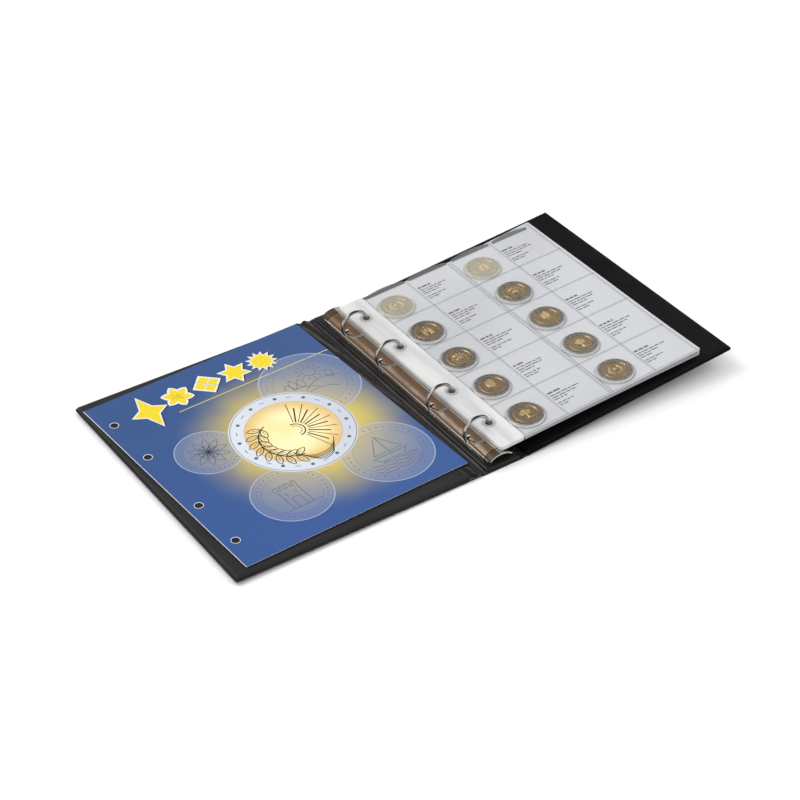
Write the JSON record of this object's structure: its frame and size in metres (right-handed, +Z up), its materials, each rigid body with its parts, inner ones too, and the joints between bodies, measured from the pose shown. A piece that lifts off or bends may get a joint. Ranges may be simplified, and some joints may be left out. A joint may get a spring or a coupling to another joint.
{
  "type": "coin album",
  "caption": "Open ring binder with stiff black covers, a nickel ring mechanism, clear coin pages and a loose printed title sheet.",
  "frame": {"origin": "on the resting face, below the middle of the ring mechanism", "axes": "+X from the front cover to the back cover, +Y along the spine, +Z up"},
  "size_m": [0.4247, 0.224, 0.0239],
  "materials": {
    "black_vinyl": "fine-grained satin vinyl",
    "vinyl_lining": "smooth satin vinyl",
    "cover_board": "grey board, sealed inside",
    "nickel_plate": "polished nickel plating",
    "spring_steel": "plain steel",
    "clear_film": "clear film",
    "printed_card": "pale printed card",
    "white_plastic": "opaque white, ribbed",
    "coin_silver": "worn nickel alloy",
    "coin_gold": "worn brass",
    "title_print": "printed gloss paper"
  },
  "bodies": {
    "spine": {"spine_outer_skin": "black_vinyl", "spine_board": "cover_board", "spine_lining": "vinyl_lining", "mechanism_plate": "nickel_plate", "plate_posts": "spring_steel", "mounting_rivets": "spring_steel", "near_lever_pin": "spring_steel", "far_lever_pin": "spring_steel"},
    "front_cover": {"front_outer_skin": "black_vinyl", "front_board": "cover_board", "front_lining": "vinyl_lining"},
    "back_cover": {"back_outer_skin": "black_vinyl", "back_board": "cover_board", "back_lining": "vinyl_lining"},
    "left_ring_rail": {"left_rail": "spring_steel", "left_ring_halves": "nickel_plate"},
    "right_ring_rail": {"right_rail": "spring_steel", "right_ring_halves": "nickel_plate"},
    "near_lever": {"near_lever": "nickel_plate"},
    "far_lever": {"far_lever": "nickel_plate"},
    "bottom_page": {"bottom_page_film": "clear_film", "bottom_page_insert": "printed_card", "bottom_page_margin": "white_plastic"},
    "middle_page": {"middle_page_film": "clear_film", "middle_page_insert": "printed_card", "middle_page_margin": "white_plastic"},
    "top_page": {"top_page_film": "clear_film", "top_page_insert": "printed_card", "top_page_margin": "white_plastic", "coin_outer_rings": "coin_silver", "coin_centres": "coin_gold"},
    "title_sheet": {"title_sheet": "title_print"}
  },
  "joints": [
    {"name": "front_cover_hinge", "type": "hinge", "parent": "spine", "child": "front_cover", "pos_m": [-0.019, 0, 0.0013], "axis": [0, 1, 0], "range_deg": [-0.6, 88]},
    {"name": "back_cover_hinge", "type": "hinge", "parent": "spine", "child": "back_cover", "pos_m": [0.0175, 0, 0.0013], "axis": [0, -1, 0], "range_deg": [-4.7, 84]},
    {"name": "bottom_page_turn", "type": "hinge", "parent": "spine", "child": "bottom_page", "pos_m": [0, 0, 0.012], "axis": [0, -1, 0], "range_deg": [-4.7, 84]},
    {"name": "middle_page_turn", "type": "hinge", "parent": "spine", "child": "middle_page", "pos_m": [0, 0, 0.012], "axis": [0, -1, 0], "range_deg": [-4.7, 84]},
    {"name": "top_page_turn", "type": "hinge", "parent": "middle_page", "child": "top_page", "pos_m": [0, 0, 0.012], "axis": [0, 1, 0], "range_deg": [-178, 0]},
    {"name": "left_ring_hinge", "type": "hinge", "parent": "spine", "child": "left_ring_rail", "pos_m": [-0.0083, 0, 0.00495], "axis": [0, -1, 0], "range_deg": [0, 10]},
    {"name": "right_ring_hinge", "type": "hinge", "parent": "spine", "child": "right_ring_rail", "pos_m": [0.0083, 0, 0.00495], "axis": [0, 1, 0], "range_deg": [0, 10]},
    {"name": "near_lever_pivot", "type": "hinge", "parent": "spine", "child": "near_lever", "pos_m": [0, -0.097, 0.0055], "axis": [1, 0, 0], "range_deg": [0, 12]},
    {"name": "far_lever_pivot", "type": "hinge", "parent": "spine", "child": "far_lever", "pos_m": [0, 0.097, 0.0055], "axis": [-1, 0, 0], "range_deg": [0, 12]},
    {"name": "title_sheet_slide", "type": "slide", "parent": "front_cover", "child": "title_sheet", "axis": [0, 1, 0], "range_m": [-0.06, 0]}
  ],
  "couplings": [
    {"joint": "bottom_page_turn", "follows": "back_cover_hinge", "ratio": 1},
    {"joint": "middle_page_turn", "follows": "back_cover_hinge", "ratio": 1},
    {"joint": "right_ring_hinge", "follows": "left_ring_hinge", "ratio": 1},
    {"joint": "near_lever_pivot", "follows": "left_ring_hinge", "ratio": 1.2},
    {"joint": "far_lever_pivot", "follows": "left_ring_hinge", "ratio": 1.2}
  ]
}
